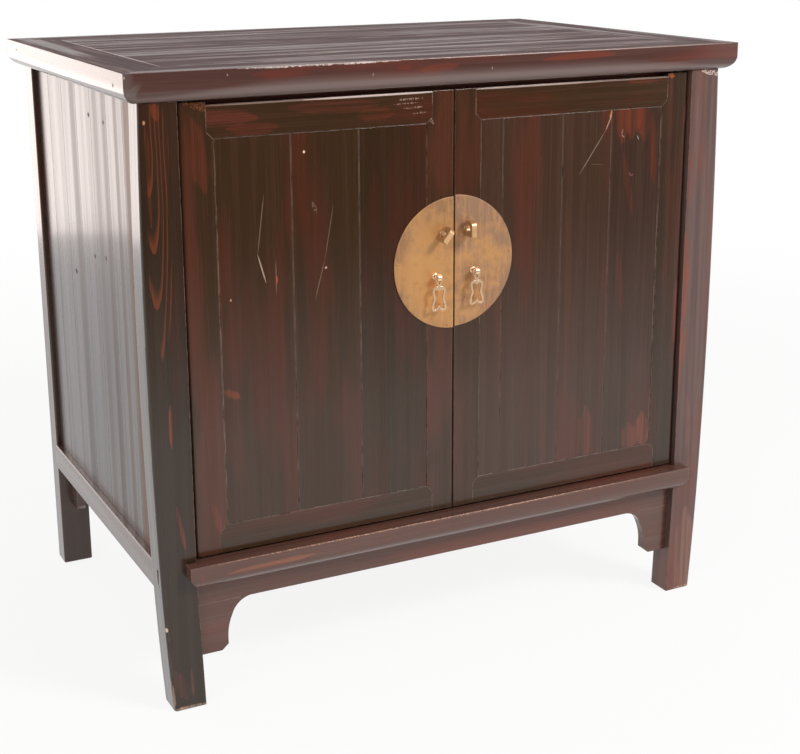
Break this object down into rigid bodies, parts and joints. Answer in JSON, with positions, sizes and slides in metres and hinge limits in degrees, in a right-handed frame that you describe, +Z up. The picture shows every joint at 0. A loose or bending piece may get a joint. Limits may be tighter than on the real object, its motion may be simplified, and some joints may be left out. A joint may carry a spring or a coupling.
{
  "type": "kang cabinet",
  "caption": "Low square-post cabinet with a framed and moulded board top, two pivoted framed doors, a moulded sill over an apron with brackets, and a split round metal plate with pulls.",
  "frame": {"origin": "on the floor, under the middle of the cabinet", "axes": "+X to the right seen from the front, +Y to the back, +Z up"},
  "size_m": [0.964, 0.645, 0.9],
  "materials": {
    "lacquered_softwood": "worn glossy dark lacquer",
    "bare_softwood": "oiled, unlacquered",
    "brass": "aged",
    "white_brass": "polished"
  },
  "bodies": {
    "carcass": {"back_boards": "bare_softwood", "floor_bearer": "bare_softwood", "floor_boards": "bare_softwood", "front_apron": "lacquered_softwood", "front_left_bracket": "lacquered_softwood", "front_left_leg": "lacquered_softwood", "front_right_bracket": "lacquered_softwood", "front_right_leg": "lacquered_softwood", "left_bottom_rail": "lacquered_softwood", "left_front_bracket": "lacquered_softwood", "left_rear_bracket": "lacquered_softwood", "left_shelf_bearer": "bare_softwood", "left_side_boards": "lacquered_softwood", "left_top_rail": "bare_softwood", "lintel": "bare_softwood", "rear_bottom_rail": "bare_softwood", "rear_left_leg": "lacquered_softwood", "rear_right_leg": "lacquered_softwood", "rear_top_rail": "bare_softwood", "right_bottom_rail": "lacquered_softwood", "right_front_bracket": "lacquered_softwood", "right_rear_bracket": "lacquered_softwood", "right_shelf_bearer": "bare_softwood", "right_side_boards": "lacquered_softwood", "right_top_rail": "bare_softwood", "shelf_boards": "bare_softwood", "sill": "lacquered_softwood", "top_back_rail": "lacquered_softwood", "top_battens": "bare_softwood", "top_boards": "lacquered_softwood", "top_front_rail": "lacquered_softwood", "top_left_rail": "lacquered_softwood", "top_right_rail": "lacquered_softwood"},
    "left_door": {"left_door_battens": "bare_softwood", "left_door_boards": "lacquered_softwood", "left_door_bottom_rail": "lacquered_softwood", "left_door_top_rail": "lacquered_softwood", "left_meeting_stile": "lacquered_softwood", "left_pivot_stile": "lacquered_softwood", "left_plate": "brass", "left_staple": "white_brass"},
    "right_door": {"right_door_battens": "bare_softwood", "right_door_boards": "lacquered_softwood", "right_door_bottom_rail": "lacquered_softwood", "right_door_top_rail": "lacquered_softwood", "right_meeting_stile": "lacquered_softwood", "right_pivot_stile": "lacquered_softwood", "right_plate": "brass", "right_staple": "white_brass"},
    "left_lug": {"left_lug": "brass", "left_lug_washer": "brass"},
    "right_lug": {"right_lug": "brass", "right_lug_washer": "brass"},
    "left_pull": {"left_pull": "white_brass"},
    "right_pull": {"right_pull": "white_brass"}
  },
  "joints": [
    {"name": "left_door_pivot", "type": "hinge", "parent": "carcass", "child": "left_door", "pos_m": [-0.3955, -0.2865, 0.54], "axis": [0, 0, -1], "range_deg": [0, 95]},
    {"name": "right_door_pivot", "type": "hinge", "parent": "carcass", "child": "right_door", "pos_m": [0.3955, -0.2865, 0.54], "axis": [0, 0, 1], "range_deg": [0, 95]},
    {"name": "left_lug_turn", "type": "hinge", "parent": "left_door", "child": "left_lug", "pos_m": [-0.02, -0.3113, 0.649], "axis": [0, -1, 0], "range_deg": [-51, 129]},
    {"name": "right_lug_turn", "type": "hinge", "parent": "right_door", "child": "right_lug", "pos_m": [0.02, -0.3113, 0.655], "axis": [0, -1, 0], "range_deg": [-90, 90]},
    {"name": "left_pull_swing", "type": "hinge", "parent": "left_door", "child": "left_pull", "pos_m": [-0.031, -0.31, 0.5875], "axis": [-1, 0, 0], "range_deg": [0, 80]},
    {"name": "right_pull_swing", "type": "hinge", "parent": "right_door", "child": "right_pull", "pos_m": [0.031, -0.31, 0.5905], "axis": [-1, 0, 0], "range_deg": [0, 80]}
  ]
}
